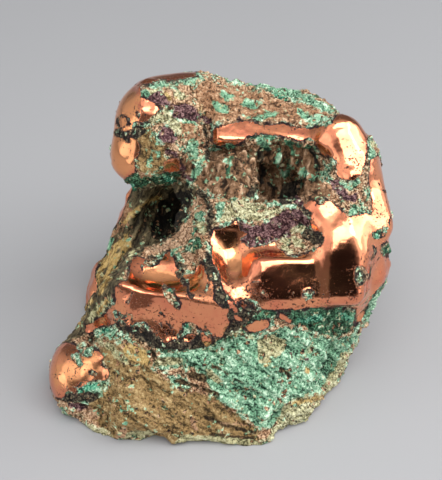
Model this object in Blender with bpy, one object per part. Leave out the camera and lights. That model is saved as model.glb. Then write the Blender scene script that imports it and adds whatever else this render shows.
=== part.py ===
"""A native copper nugget: one solid, modelled as lumps and hollows that flow into each other.

Every form is a short formula for the distance to its surface. Geometry Nodes joins the formulas softly,
fills a volume with the result and skins it. The skin is thinned to few triangles and cut flat to stand.
Lengths in the tables are millimetres. +X is to the right, +Y to the back, +Z up.
"""

import math

import bpy

MM = 0.001
NAME = "copper_nugget"

# The middle of the nugget's width and depth, in the tables' numbers. It is moved to the origin.
MIDDLE = (-1.95, -4.65)

# The block of space that is filled, and how finely.
SPACE_LOW = (-92.3, -86.3, -12.3)
SPACE_HIGH = (88.3, 74.3, 139.3)
GRID_STEP = 2.0
KEPT_TRIANGLES = 9200

# The nugget is modelled this far down past its base, then cut flat.
BELOW_BASE = 6.0
CUTTER_HALF = 150.0

# Relief of the crust: slow swells, and the knobs on them. Each has a length and a height.
SWELL = (26.0, 5.0)
KNOBS = (9.0, 2.8)
# The relief reaches its full height this far outside a polished patch.
CRUST_EDGE = 5.0

# Bare native copper, part polished.
COPPER_COLOUR = (0.64, 0.33, 0.21, 1.0)
COPPER_METALLIC = 1.0
COPPER_ROUGHNESS = 0.38

# A ball is (centre, radii, turn in degrees about X, Y and Z, softness of its join).
# A block is (centre, half sizes, turn, rounding, softness).
# A rope is (start, end, start radius, end radius, softness).
MASSES = (
    # front wall, foot and base
    ("block", (-10, -37, 20), (38, 27, 34), (-29, 10, 0), 7, 8),
    ("block", (-36, -39, 14), (24, 24, 34), (-24, 24, -24), 7, 8),
    ("block", (-48, -39, 4), (28, 22, 16), (-18, 0, -38), 8, 8),
    ("ball", (-67, -42, 12), (14, 17, 16), (0, 0, 0), 6),
    ("rope", (-66, -36, 12), (-60, -20, 20), 10, 8, 6),
    ("block", (20, -31, 34), (26, 27, 42), (-20, 20, 8), 12, 10),
    # belt
    ("rope", (-61, -22, 20), (-46, -34, 56), 8, 9, 8),
    ("block", (-22, -42, 56), (26, 9, 13), (-6, 0, -15), 3, 6),
    ("rope", (-4, -44, 59), (40, -36, 62), 11, 14, 6),
    # shelf between the lip and the belt
    ("block", (-23, -31, 58), (22, 18, 10), (15, 0, 0), 7, 5),
    ("block", (20, -25, 69), (27, 18, 12), (35, 4, 0), 6, 8),
    # wall between the valley and the shelf
    ("rope", (-50, -18, 36), (-38, -18, 58), 8, 9, 6),
    ("rope", (-40, -16, 50), (-4, -12, 60), 10, 16, 6),
    # bulge beside the bowl
    ("block", (53, -36, 70), (11, 12, 14), (-33, 0, 0), 6, 4),
    # right shoulder
    ("ball", (50, -8, 76), (27, 32, 26), (0, 0, 0), 12),
    ("ball", (53, -27, 84), (12, 13, 11), (0, 0, 0), 5),
    ("rope", (28, -30, 10), (50, -20, 58), 14, 22, 12),
    ("rope", (24, 10, 10), (54, 0, 66), 20, 22, 16),
    # body behind
    ("ball", (8, 24, 40), (42, 34, 56), (0, 6, 0), 14),
    ("block", (4, 20, 30), (34, 26, 34), (0, 4, 20), 16, 14),
    ("ball", (-18, 46, 44), (24, 19, 46), (0, 0, 0), 12),
    ("ball", (26, 42, 62), (26, 20, 32), (10, 20, 0), 12),
    ("block", (13, 36, 97), (34, 22, 19), (0, 4, -9), 12, 12),
    ("ball", (44, 26, 97), (18, 20, 16), (0, 0, 0), 10),
    ("block", (18, 16, 108), (27, 6, 5), (27, 0, -4), 2, 2),
    # head and neck
    ("ball", (-29, 27, 108), (21, 24, 21), (0, 24, 0), 8),
    ("ball", (-34, 16, 98), (18, 15, 15), (0, 0, 0), 8),
    ("ball", (-14, 37, 109), (22, 18, 18), (0, 0, 0), 10),
    # knob
    ("ball", (54, 10, 104), (13, 13, 18), (0, 0, 0), 8),
    ("ball", (60, 5, 100), (12, 14, 13), (0, 0, 0), 6),
    ("ball", (59, 6, 92), (13, 24, 18), (0, 0, 0), 8),
    ("rope", (65, 2, 94), (69, -20, 84), 9, 8, 5),
    # lumps on the back
    ("ball", (-32, 52, 16), (20, 14, 20), (0, 0, 0), 10),
    ("ball", (38, 40, 18), (20, 16, 22), (0, 0, 0), 10),
    ("ball", (36, 52, 86), (14, 11, 13), (0, 0, 0), 8),
    ("ball", (-28, 56, 72), (13, 10, 16), (0, 0, 0), 8),
    # slab behind the valley
    ("rope", (-58, 17, 4), (-36, 42, 50), 10, 12, 8),
    ("rope", (-37, 40, 50), (-22, 46, 90), 10, 16, 8),
    ("ball", (-36, 31, 22), (18, 14, 17), (0, 0, 0), 8),
    ("block", (-32, 26, 6), (32, 24, 16), (0, 0, 30), 8, 10),
)
HOLLOWS = (
    # valley and cave under the head
    ("rope", (-84, 2, 32), (-54, 5, 44), 15, 18, 4),
    ("rope", (-54, 5, 44), (-28, 22, 61), 18, 15, 4),
    ("rope", (-31, 3, 71), (-23, 32, 52), 11, 16, 3),
    # central hollow
    ("ball", (30, -2, 101), (20, 13, 15), (0, 0, 0), 4),
    ("ball", (28, 8, 82), (13, 13, 16), (0, 0, 0), 4),
    # groove between the head and the strip
    ("rope", (-6, 26, 122), (-8, 4, 102), 3, 5, 3),
    # dishes above the belt
    ("ball", (-26, -38, 79), (20, 14, 14), (15, 0, 0), 4),
    ("ball", (4, -40, 88), (13, 16, 17), (35, 0, 0), 5),
    ("ball", (25, -33, 90), (17, 9, 11), (0, 0, 0), 6),
    ("ball", (75, -50, 70), (11, 12, 16), (0, 0, -30), 6),
    # hollows in the back
    ("ball", (12, 74, 58), (26, 22, 22), (0, 24, 0), 10),
    ("ball", (60, 50, 52), (18, 22, 20), (0, 0, 0), 10),
    ("ball", (8, 76, 14), (26, 24, 14), (0, -14, 0), 10),
)
RIDGES = (
    # lip and its ledge
    ("rope", (-38, -22, 59), (-27, -19, 64), 3, 4, 3),
    ("rope", (-27, -19, 64), (-17, -14, 70), 4, 4, 3),
    ("rope", (-17, -14, 70), (-8, 0, 79), 4, 5, 4),
    ("rope", (-17, -16, 68), (-3, -16, 80), 4, 6, 4),
    ("rope", (-3, -16, 83), (36, -16, 89), 6, 5, 4),
    ("ball", (-15, -25, 65), (9, 9, 8), (0, 0, 0), 4),
    ("rope", (-34, -25, 52), (-10, -16, 66), 8, 10, 5),
    # buttress under the strip
    ("rope", (3, -10, 84), (5, 6, 93), 12, 11, 6),
    # neck between the head and the lip
    ("rope", (-12, 16, 96), (-4, 2, 80), 9, 8, 5),
    # floor behind the lip
    ("ball", (14, -6, 77), (9, 7, 7), (0, 0, 0), 4),
    # belly of the bowl
    ("block", (30, -36, 67), (18, 12, 10), (-34, 0, 0), 2, 3),
    # ridge between the dishes
    ("rope", (-8, -26, 78), (1, -52, 66), 4, 4, 6),
)
# Where the crust was ground off and the bare copper polished: smooth, with no relief.
POLISHED = (
    ("ball", (-50, 20, 106), (14, 22, 26), (0, 0, 0), 0),
    ("ball", (-24, 44, 126), (18, 12, 8), (0, 0, 0), 0),
    ("rope", (0, 12, 112), (40, 8, 112), 6, 8, 0),
    ("ball", (55, 8, 106), (14, 14, 18), (0, 0, 0), 0),
    ("rope", (74, 8, 98), (80, -16, 78), 8, 12, 0),
    ("ball", (54, -34, 80), (20, 18, 18), (0, 0, 0), 0),
    ("rope", (-58, -22, 30), (-40, -36, 60), 5, 12, 0),
    ("rope", (-40, -36, 60), (-8, -46, 60), 14, 15, 0),
    ("rope", (-8, -44, 64), (52, -42, 68), 15, 14, 0),
    ("ball", (10, -30, 76), (20, 14, 12), (0, 0, 0), 0),
    ("ball", (-72, -44, 14), (14, 16, 15), (0, 0, 0), 0),
)


class Formula:
    """Writes a formula over space as nodes. Each call adds one node and returns its result."""

    def __init__(self, tree):
        self.tree = tree

    def feed(self, node, values):
        for socket, value in zip(node.inputs, values):
            if isinstance(value, bpy.types.NodeSocket):
                self.tree.links.new(value, socket)
            else:
                socket.default_value = value

    def number(self, operation, *values):
        node = self.tree.nodes.new("ShaderNodeMath")
        node.operation = operation
        self.feed(node, values)
        return node.outputs[0]

    def vector(self, operation, *values):
        node = self.tree.nodes.new("ShaderNodeVectorMath")
        node.operation = operation
        self.feed(node, values)
        gives_number = operation in ("LENGTH", "DOT_PRODUCT")
        return node.outputs["Value" if gives_number else "Vector"]

    def scaled(self, vector, factor):
        node = self.tree.nodes.new("ShaderNodeVectorMath")
        node.operation = "SCALE"
        self.tree.links.new(vector, node.inputs[0])
        self.feed_one(node.inputs["Scale"], factor)
        return node.outputs["Vector"]

    def feed_one(self, socket, value):
        if isinstance(value, bpy.types.NodeSocket):
            self.tree.links.new(value, socket)
        else:
            socket.default_value = value

    def turned_back(self, point, turn):
        if not any(turn):
            return point
        node = self.tree.nodes.new("ShaderNodeVectorRotate")
        node.rotation_type = "EULER_XYZ"
        node.invert = True
        self.tree.links.new(point, node.inputs["Vector"])
        node.inputs["Rotation"].default_value = [math.radians(a) for a in turn]
        return node.outputs["Vector"]

    def parts_of(self, vector):
        node = self.tree.nodes.new("ShaderNodeSeparateXYZ")
        self.tree.links.new(vector, node.inputs[0])
        return node.outputs[0], node.outputs[1], node.outputs[2]

    def noise(self, point, length):
        """Smooth noise, from about -1 to 1, with lumps about this many millimetres across."""
        node = self.tree.nodes.new("ShaderNodeTexNoise")
        self.tree.links.new(point, node.inputs["Vector"])
        node.inputs["Scale"].default_value = 1.0 / length
        node.inputs["Detail"].default_value = 2.0
        return self.number("MULTIPLY_ADD", node.outputs[0], 2.0, -1.0)

    def ramp(self, value, width):
        """0 where value is 0 or less, rising smoothly to 1 where it reaches width."""
        node = self.tree.nodes.new("ShaderNodeMapRange")
        node.interpolation_type = "SMOOTHSTEP"
        self.tree.links.new(value, node.inputs["Value"])
        node.inputs["From Max"].default_value = width
        return node.outputs[0]

    # Distances to single forms.

    def ball(self, point, centre, radii, turn):
        local = self.turned_back(self.vector("SUBTRACT", point, centre), turn)
        once = self.vector("DIVIDE", local, radii)
        reach = self.vector("LENGTH", once)
        slope = self.vector("LENGTH", self.vector("DIVIDE", once, radii))
        past = self.number("SUBTRACT", reach, 1.0)
        return self.number("DIVIDE", self.number("MULTIPLY", reach, past), slope)

    def block(self, point, centre, half, turn, rounding):
        local = self.turned_back(self.vector("SUBTRACT", point, centre), turn)
        inner = [size - rounding for size in half]
        past = self.vector("SUBTRACT", self.vector("ABSOLUTE", local), inner)
        outside = self.vector("LENGTH", self.vector("MAXIMUM", past, (0.0, 0.0, 0.0)))
        x, y, z = self.parts_of(past)
        deepest = self.number("MAXIMUM", self.number("MAXIMUM", x, y), z)
        inside = self.number("MINIMUM", deepest, 0.0)
        return self.number("SUBTRACT", self.number("ADD", outside, inside), rounding)

    def rope(self, point, start, end, start_radius, end_radius):
        run = [b - a for a, b in zip(start, end)]
        length_squared = sum(c * c for c in run)
        along = self.vector("SUBTRACT", point, start)
        share = self.number("DIVIDE", self.vector("DOT_PRODUCT", along, run), length_squared)
        share.node.use_clamp = True
        run_node = self.tree.nodes.new("ShaderNodeCombineXYZ")
        self.feed(run_node, run)
        off = self.vector("SUBTRACT", along, self.scaled(run_node.outputs[0], share))
        radius = self.number("MULTIPLY_ADD", share, end_radius - start_radius, start_radius)
        return self.number("SUBTRACT", self.vector("LENGTH", off), radius)

    def form(self, point, spec):
        kind, *sizes, softness = spec
        return getattr(self, kind)(point, *sizes), softness

    # Joins.

    def added(self, distance, point, specs):
        for spec in specs:
            other, softness = self.form(point, spec)
            distance = other if distance is None else self.number("SMOOTH_MIN", distance, other, softness)
        return distance

    def carved(self, distance, point, specs):
        for spec in specs:
            other, softness = self.form(point, spec)
            outside = self.number("MULTIPLY", other, -1.0)
            distance = self.number("SMOOTH_MAX", distance, outside, softness)
        return distance


def nugget_distance(formula, point):
    """Millimetres from a point to the nugget's surface, below zero inside."""
    distance = formula.added(None, point, MASSES)
    distance = formula.carved(distance, point, HOLLOWS)
    distance = formula.added(distance, point, RIDGES)
    crusted = formula.ramp(formula.added(None, point, POLISHED), CRUST_EDGE)
    relief = 0.0
    for length, height in (SWELL, KNOBS):
        relief = formula.number("MULTIPLY_ADD", formula.noise(point, length), height, relief)
    distance = formula.number("MULTIPLY_ADD", relief, crusted, distance)
    height = formula.parts_of(point)[2]
    return formula.number("MAXIMUM", distance, formula.number("SUBTRACT", -BELOW_BASE, height))


def form_tree():
    """Geometry nodes that fill a volume from the formula and skin it."""
    tree = bpy.data.node_groups.new("nugget form", "GeometryNodeTree")
    tree.interface.new_socket("Geometry", in_out="OUTPUT", socket_type="NodeSocketGeometry")
    formula = Formula(tree)
    position = tree.nodes.new("GeometryNodeInputPosition").outputs[0]
    point = formula.scaled(position, 1.0 / MM)
    inside = formula.number("MULTIPLY", nugget_distance(formula, point), -1.0)

    volume = tree.nodes.new("GeometryNodeVolumeCube")
    tree.links.new(inside, volume.inputs["Density"])
    volume.inputs["Background"].default_value = -1.0
    volume.inputs["Min"].default_value = [c * MM for c in SPACE_LOW]
    volume.inputs["Max"].default_value = [c * MM for c in SPACE_HIGH]
    for axis, low, high in zip("XYZ", SPACE_LOW, SPACE_HIGH):
        volume.inputs["Resolution " + axis].default_value = round((high - low) / GRID_STEP)
    skin = tree.nodes.new("GeometryNodeVolumeToMesh")
    skin.inputs["Threshold"].default_value = 0.0
    tree.links.new(volume.outputs[0], skin.inputs[0])
    out = tree.nodes.new("NodeGroupOutput")
    tree.links.new(skin.outputs[0], out.inputs[0])
    return tree


def copper():
    material = bpy.data.materials.new("native copper")
    material.use_nodes = True
    shader = material.node_tree.nodes["Principled BSDF"]
    shader.inputs["Base Color"].default_value = COPPER_COLOUR
    shader.inputs["Metallic"].default_value = COPPER_METALLIC
    shader.inputs["Roughness"].default_value = COPPER_ROUGHNESS
    return material


def clear_scene():
    for obj in list(bpy.data.objects):
        bpy.data.objects.remove(obj)


def base_cutter(collection):
    """A block below the floor, which takes off all that would stand under the base."""
    bpy.ops.mesh.primitive_cube_add(size=2.0 * CUTTER_HALF * MM, location=(0.0, 0.0, -CUTTER_HALF * MM))
    cutter = bpy.context.object
    cutter.name = "base_cutter"
    for home in list(cutter.users_collection):
        home.objects.unlink(cutter)
    collection.objects.link(cutter)
    cutter.hide_render = True
    cutter.display_type = "WIRE"
    return cutter


def triangles_of(obj):
    """How many triangles the object has with its modifiers so far."""
    evaluated = obj.evaluated_get(bpy.context.evaluated_depsgraph_get())
    mesh = evaluated.to_mesh()
    count = sum(len(polygon.vertices) - 2 for polygon in mesh.polygons)
    evaluated.to_mesh_clear()
    return count


def nugget(collection):
    mesh = bpy.data.meshes.new(NAME)
    obj = bpy.data.objects.new(NAME, mesh)
    obj.location = [-c * MM for c in MIDDLE] + [0.0]
    collection.objects.link(obj)
    obj.data.materials.append(copper())

    form = obj.modifiers.new("form", "NODES")
    form.node_group = form_tree()
    thin = obj.modifiers.new("thin", "DECIMATE")
    thin.use_collapse_triangulate = True
    thin.ratio = 1.0
    thin.ratio = KEPT_TRIANGLES / triangles_of(obj)
    cut = obj.modifiers.new("base", "BOOLEAN")
    cut.operation = "DIFFERENCE"
    cut.solver = "EXACT"
    cut.object = base_cutter(collection)
    return obj


def main():
    clear_scene()
    collection = bpy.data.collections.new(NAME)
    bpy.context.scene.collection.children.link(collection)
    nugget(collection)


main()
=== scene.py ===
"""A native copper nugget on a pale table: bare polished copper on the high places, and between them a
granular crust of green malachite, tan earth and dark cuprite.

The tables of forms are the part's own, in millimetres, so the dressed nugget lies on the solid's surface.
Only THICK_CRUST is the scene's: it stands out from the solid at the foot of the right flank.
Paint is laid in named strokes and outlines. Their points are pixels of the camera's 442 x 480 frame, and are
painted from there onto the nugget, or they are the tables' millimetres.
"""

import math

import bpy
import numpy as np
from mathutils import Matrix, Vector
from mathutils.bvhtree import BVHTree
from mathutils.kdtree import KDTree


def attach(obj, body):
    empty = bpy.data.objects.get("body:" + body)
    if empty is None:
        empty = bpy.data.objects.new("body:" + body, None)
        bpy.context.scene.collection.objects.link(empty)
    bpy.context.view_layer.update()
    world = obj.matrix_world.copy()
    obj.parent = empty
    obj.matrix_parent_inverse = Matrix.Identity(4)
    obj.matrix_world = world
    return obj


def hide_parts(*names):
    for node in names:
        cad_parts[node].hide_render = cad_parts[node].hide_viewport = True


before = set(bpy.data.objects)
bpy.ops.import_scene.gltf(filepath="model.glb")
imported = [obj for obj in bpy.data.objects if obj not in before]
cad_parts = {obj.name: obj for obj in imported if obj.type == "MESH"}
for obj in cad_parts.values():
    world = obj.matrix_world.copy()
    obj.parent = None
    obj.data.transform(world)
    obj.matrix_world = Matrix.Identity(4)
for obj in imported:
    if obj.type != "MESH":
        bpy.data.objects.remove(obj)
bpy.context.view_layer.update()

MM = 0.001
NODE = "copper_nugget"

# The middle of the nugget's width and depth, in the tables' numbers. It is moved to the origin.
MIDDLE = (-1.95, -4.65)

# The block of space that is filled, and how finely.
SPACE_LOW = (-92.3, -86.3, -12.3)
SPACE_HIGH = (88.3, 74.3, 139.3)
GRID_STEP = 1.3
# How often the skin is moved onto the exact surface.
SKIN_STEPS = 3

# Relief of the crust: slow swells, and the knobs on them. Each has a length and a height.
SWELL = (26.0, 5.0)
KNOBS = (9.0, 2.8)
# The relief reaches its full height this far outside a polished patch.
CRUST_EDGE = 5.0

# A ball is (centre, radii, turn in degrees about X, Y and Z, softness of its join).
# A block is (centre, half sizes, turn, rounding, softness).
# A rope is (start, end, start radius, end radius, softness).
MASSES = (
    # front wall, foot and base
    ("block", (-10, -37, 20), (38, 27, 34), (-29, 10, 0), 7, 8),
    ("block", (-36, -39, 14), (24, 24, 34), (-24, 24, -24), 7, 8),
    ("block", (-48, -39, 4), (28, 22, 16), (-18, 0, -38), 8, 8),
    ("ball", (-67, -42, 12), (14, 17, 16), (0, 0, 0), 6),
    ("rope", (-66, -36, 12), (-60, -20, 20), 10, 8, 6),
    ("block", (20, -31, 34), (26, 27, 42), (-20, 20, 8), 12, 10),
    # belt
    ("rope", (-61, -22, 20), (-46, -34, 56), 8, 9, 8),
    ("block", (-22, -42, 56), (26, 9, 13), (-6, 0, -15), 3, 6),
    ("rope", (-4, -44, 59), (40, -36, 62), 11, 14, 6),
    # shelf between the lip and the belt
    ("block", (-23, -31, 58), (22, 18, 10), (15, 0, 0), 7, 5),
    ("block", (20, -25, 69), (27, 18, 12), (35, 4, 0), 6, 8),
    # wall between the valley and the shelf
    ("rope", (-50, -18, 36), (-38, -18, 58), 8, 9, 6),
    ("rope", (-40, -16, 50), (-4, -12, 60), 10, 16, 6),
    # bulge beside the bowl
    ("block", (53, -36, 70), (11, 12, 14), (-33, 0, 0), 6, 4),
    # right shoulder
    ("ball", (50, -8, 76), (27, 32, 26), (0, 0, 0), 12),
    ("ball", (53, -27, 84), (12, 13, 11), (0, 0, 0), 5),
    ("rope", (28, -30, 10), (50, -20, 58), 14, 22, 12),
    ("rope", (24, 10, 10), (54, 0, 66), 20, 22, 16),
    # body behind
    ("ball", (8, 24, 40), (42, 34, 56), (0, 6, 0), 14),
    ("block", (4, 20, 30), (34, 26, 34), (0, 4, 20), 16, 14),
    ("ball", (-18, 46, 44), (24, 19, 46), (0, 0, 0), 12),
    ("ball", (26, 42, 62), (26, 20, 32), (10, 20, 0), 12),
    ("block", (13, 36, 97), (34, 22, 19), (0, 4, -9), 12, 12),
    ("ball", (44, 26, 97), (18, 20, 16), (0, 0, 0), 10),
    ("block", (18, 16, 108), (27, 6, 5), (27, 0, -4), 2, 2),
    # head and neck
    ("ball", (-29, 27, 108), (21, 24, 21), (0, 24, 0), 8),
    ("ball", (-34, 16, 98), (18, 15, 15), (0, 0, 0), 8),
    ("ball", (-14, 37, 109), (22, 18, 18), (0, 0, 0), 10),
    # knob
    ("ball", (54, 10, 104), (13, 13, 18), (0, 0, 0), 8),
    ("ball", (60, 5, 100), (12, 14, 13), (0, 0, 0), 6),
    ("ball", (59, 6, 92), (13, 24, 18), (0, 0, 0), 8),
    ("rope", (65, 2, 94), (69, -20, 84), 9, 8, 5),
    # lumps on the back
    ("ball", (-32, 52, 16), (20, 14, 20), (0, 0, 0), 10),
    ("ball", (38, 40, 18), (20, 16, 22), (0, 0, 0), 10),
    ("ball", (36, 52, 86), (14, 11, 13), (0, 0, 0), 8),
    ("ball", (-28, 56, 72), (13, 10, 16), (0, 0, 0), 8),
    # slab behind the valley
    ("rope", (-58, 17, 4), (-36, 42, 50), 10, 12, 8),
    ("rope", (-37, 40, 50), (-22, 46, 90), 10, 16, 8),
    ("ball", (-36, 31, 22), (18, 14, 17), (0, 0, 0), 8),
    ("block", (-32, 26, 6), (32, 24, 16), (0, 0, 30), 8, 10),
)
HOLLOWS = (
    # valley and cave under the head
    ("rope", (-84, 2, 32), (-54, 5, 44), 15, 18, 4),
    ("rope", (-54, 5, 44), (-28, 22, 61), 18, 15, 4),
    ("rope", (-31, 3, 71), (-23, 32, 52), 11, 16, 3),
    # central hollow
    ("ball", (30, -2, 101), (20, 13, 15), (0, 0, 0), 4),
    ("ball", (28, 8, 82), (13, 13, 16), (0, 0, 0), 4),
    # groove between the head and the strip
    ("rope", (-6, 26, 122), (-8, 4, 102), 3, 5, 3),
    # dishes above the belt
    ("ball", (-26, -38, 79), (20, 14, 14), (15, 0, 0), 4),
    ("ball", (4, -40, 88), (13, 16, 17), (35, 0, 0), 5),
    ("ball", (25, -33, 90), (17, 9, 11), (0, 0, 0), 6),
    ("ball", (75, -50, 70), (11, 12, 16), (0, 0, -30), 6),
    # hollows in the back
    ("ball", (12, 74, 58), (26, 22, 22), (0, 24, 0), 10),
    ("ball", (60, 50, 52), (18, 22, 20), (0, 0, 0), 10),
    ("ball", (8, 76, 14), (26, 24, 14), (0, -14, 0), 10),
)
RIDGES = (
    # lip and its ledge
    ("rope", (-38, -22, 59), (-27, -19, 64), 3, 4, 3),
    ("rope", (-27, -19, 64), (-17, -14, 70), 4, 4, 3),
    ("rope", (-17, -14, 70), (-8, 0, 79), 4, 5, 4),
    ("rope", (-17, -16, 68), (-3, -16, 80), 4, 6, 4),
    ("rope", (-3, -16, 83), (36, -16, 89), 6, 5, 4),
    ("ball", (-15, -25, 65), (9, 9, 8), (0, 0, 0), 4),
    ("rope", (-34, -25, 52), (-10, -16, 66), 8, 10, 5),
    # buttress under the strip
    ("rope", (3, -10, 84), (5, 6, 93), 12, 11, 6),
    # neck between the head and the lip
    ("rope", (-12, 16, 96), (-4, 2, 80), 9, 8, 5),
    # floor behind the lip
    ("ball", (14, -6, 77), (9, 7, 7), (0, 0, 0), 4),
    # belly of the bowl
    ("block", (30, -36, 67), (18, 12, 10), (-34, 0, 0), 2, 3),
    # ridge between the dishes
    ("rope", (-8, -26, 78), (1, -52, 66), 4, 4, 6),
)
# Where the crust was ground off and the bare copper polished: smooth, with no relief.
POLISHED = (
    ("ball", (-50, 20, 106), (14, 22, 26), (0, 0, 0), 0),
    ("ball", (-24, 44, 126), (18, 12, 8), (0, 0, 0), 0),
    ("rope", (0, 12, 112), (40, 8, 112), 6, 8, 0),
    ("ball", (55, 8, 106), (14, 14, 18), (0, 0, 0), 0),
    ("rope", (74, 8, 98), (80, -16, 78), 8, 12, 0),
    ("ball", (54, -34, 80), (20, 18, 18), (0, 0, 0), 0),
    ("rope", (-58, -22, 30), (-40, -36, 60), 5, 12, 0),
    ("rope", (-40, -36, 60), (-8, -46, 60), 14, 15, 0),
    ("rope", (-8, -44, 64), (52, -42, 68), 15, 14, 0),
    ("ball", (10, -30, 76), (20, 14, 12), (0, 0, 0), 0),
    ("ball", (-72, -44, 14), (14, 16, 15), (0, 0, 0), 0),
)

# Camera: it looks down from the front. Its frame is 442 x 480 pixels.
CAMERA_RISE = 38.0
CAMERA_AWAY = 520.0
CAMERA_AIM = (0.0, 0.0, 60.0)
FRAME_WIDE = 442
FRAME_HIGH = 480
FOCAL_PIXELS = 1095.0
SENSOR_MM = 36.0
# One pixel's width at the aim.
PIXEL_MM = CAMERA_AWAY / FOCAL_PIXELS

# The crust lies thicker down the right flank than the solid has it.
THICK_CRUST = (
    ("rope", (67, -22, 60), (49, -26, 8), 8, 12, 12),
    ("rope", (47, -30, 8), (32, -55, 6), 12, 9, 8),
)

# Which way the crust's ridges run on the front wall, on the slab, in the hollow and on the top.
WALL_RUN = (0.74, 0.0, -0.68)
SLAB_RUN = (0.39, 0.44, 0.81)
HOLLOW_RUN = (0.1, 0.35, 1.0)
TOP_RUN = (1.0, 0.3, -0.1)
# How many millimetres across the crust's grains are, and the smaller ones among them.
GRAIN = 1.5
SMALL_GRAIN = 0.8
# Which crusts are drawn out into ridges, and which way.
RIDGED = {
    "mint": WALL_RUN, "earth": WALL_RUN, "slab": SLAB_RUN, "dark_green": HOLLOW_RUN, "brown": HOLLOW_RUN,
}
# Which crusts lie flatter than the rest, and how flat.
FLATTER = ("earth", "ledge", "gold", "slab")
FLATTER_SHARE = 0.65
# How deep the brown lines in the wall and the slab are sunk.
UMBER_DEPTH = 0.9
# How many times the skin is smoothed where it is bare copper, and where that is worn smoothest.
BARE_SMOOTHING = 12
WORN_SMOOTHING = 70
# Out of the camera's sight the bare patches' edges wander, by waves this long and this strong. They begin to
# this far past what it sees, and wander fully this much further on.
WANDER = (16.0, 17.0)
WANDER_START = 4.0
WANDER_RISE = 8.0
# The crust begins this far inside a bare patch's edge, and has its full height this much further out.
CRUST_START = -0.5
CRUST_RISE = 4.0
# Near the table the crust's relief fades out, so that the underside is flat: where it ends, and over how far.
FLAT_BELOW = 0.3
FLAT_FADE = 2.0

# Noises, each with its length in millimetres, its detail and its roughness.
FINE = (1.1, 4.0, 0.75)
BLOTCH = (5.0, 5.0, 0.65)
EDGE = (6.0, 5.0, 0.65)
MEDIUM = (7.0, 6.0, 0.68)
COARSE = (17.0, 4.0, 0.6)
BROAD = (34.0, 3.0, 0.6)

# Colours of the crust: between its grains, on most of it, and on its lightest grains.
COATS = {
    "tan": ((0.050, 0.025, 0.012), (0.42, 0.215, 0.110), (0.86, 0.62, 0.40)),
    "mint": ((0.010, 0.032, 0.020), (0.21, 0.45, 0.27), (0.80, 1.0, 0.77)),
    "dark_green": ((0.005, 0.012, 0.007), (0.030, 0.095, 0.048), (0.16, 0.38, 0.21)),
    "emerald": ((0.006, 0.035, 0.022), (0.045, 0.30, 0.17), (0.34, 0.70, 0.48)),
    "pale": ((0.08, 0.075, 0.03), (0.54, 0.50, 0.27), (0.90, 0.88, 0.60)),
    "ledge": ((0.12, 0.06, 0.03), (0.50, 0.29, 0.165), (0.78, 0.56, 0.38)),
    "ochre": ((0.05, 0.030, 0.010), (0.33, 0.205, 0.080), (0.64, 0.48, 0.24)),
    "gold": ((0.12, 0.07, 0.02), (0.56, 0.37, 0.13), (0.86, 0.68, 0.34)),
    "slab": ((0.018, 0.014, 0.008), (0.115, 0.090, 0.048), (0.46, 0.35, 0.18)),
    "umber": ((0.014, 0.009, 0.004), (0.080, 0.048, 0.022), (0.32, 0.22, 0.11)),
    "brown": ((0.022, 0.011, 0.005), (0.20, 0.105, 0.052), (0.58, 0.38, 0.24)),
    "cuprite": ((0.012, 0.004, 0.005), (0.095, 0.036, 0.042), (0.36, 0.21, 0.20)),
    "black": ((0.003, 0.003, 0.003), (0.022, 0.016, 0.012), (0.16, 0.13, 0.08)),
    # Near-black, for the painted shade in the cave under the head.
    "cave_shade": ((0.002, 0.002, 0.002), (0.014, 0.011, 0.007), (0.08, 0.065, 0.04)),
}
# The zones as they cover each other, and how many millimetres the edge of each wanders.
LAYERS = {
    "slab": 5.0, "earth": 6.0, "tan": 4.0, "brown": 3.0, "dark_green": 4.0, "mint": 4.0, "emerald": 2.0,
    "umber": 2.0, "pale": 3.0, "gold": 3.0, "ledge": 1.5, "cuprite": 2.5, "black": 3.0, "cave_shade": 5.0,
}
# Zones whose colour is streaked: which way, how much fine grain is left, and how streaked.
STREAKED = (
    ("earth", WALL_RUN, 0.6, 0.65),
    ("mint", WALL_RUN, 0.7, 0.40),
    ("slab", SLAB_RUN, 0.3, 1.0),
    ("brown", HOLLOW_RUN, 0.3, 1.0),
    ("tan", TOP_RUN, 0.5, 0.6),
)
# The dark seam where the crust ends on the copper, in its gaps and on its grains, and the specks beyond it.
SEAM = ((0.016, 0.008, 0.008), (0.07, 0.035, 0.038))
SPECK = (0.020, 0.011, 0.010)
COPPER_RED = (0.82, 0.265, 0.150)
COPPER = (0.97, 0.40, 0.20)
COPPER_GOLDEN = (0.98, 0.42, 0.19)
CRUST_ROUGHNESS = 0.75
COPPER_ROUGHNESS = 0.14
# How much rougher or smoother the copper is from place to place.
ROUGHNESS_SWING = 0.06

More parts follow.
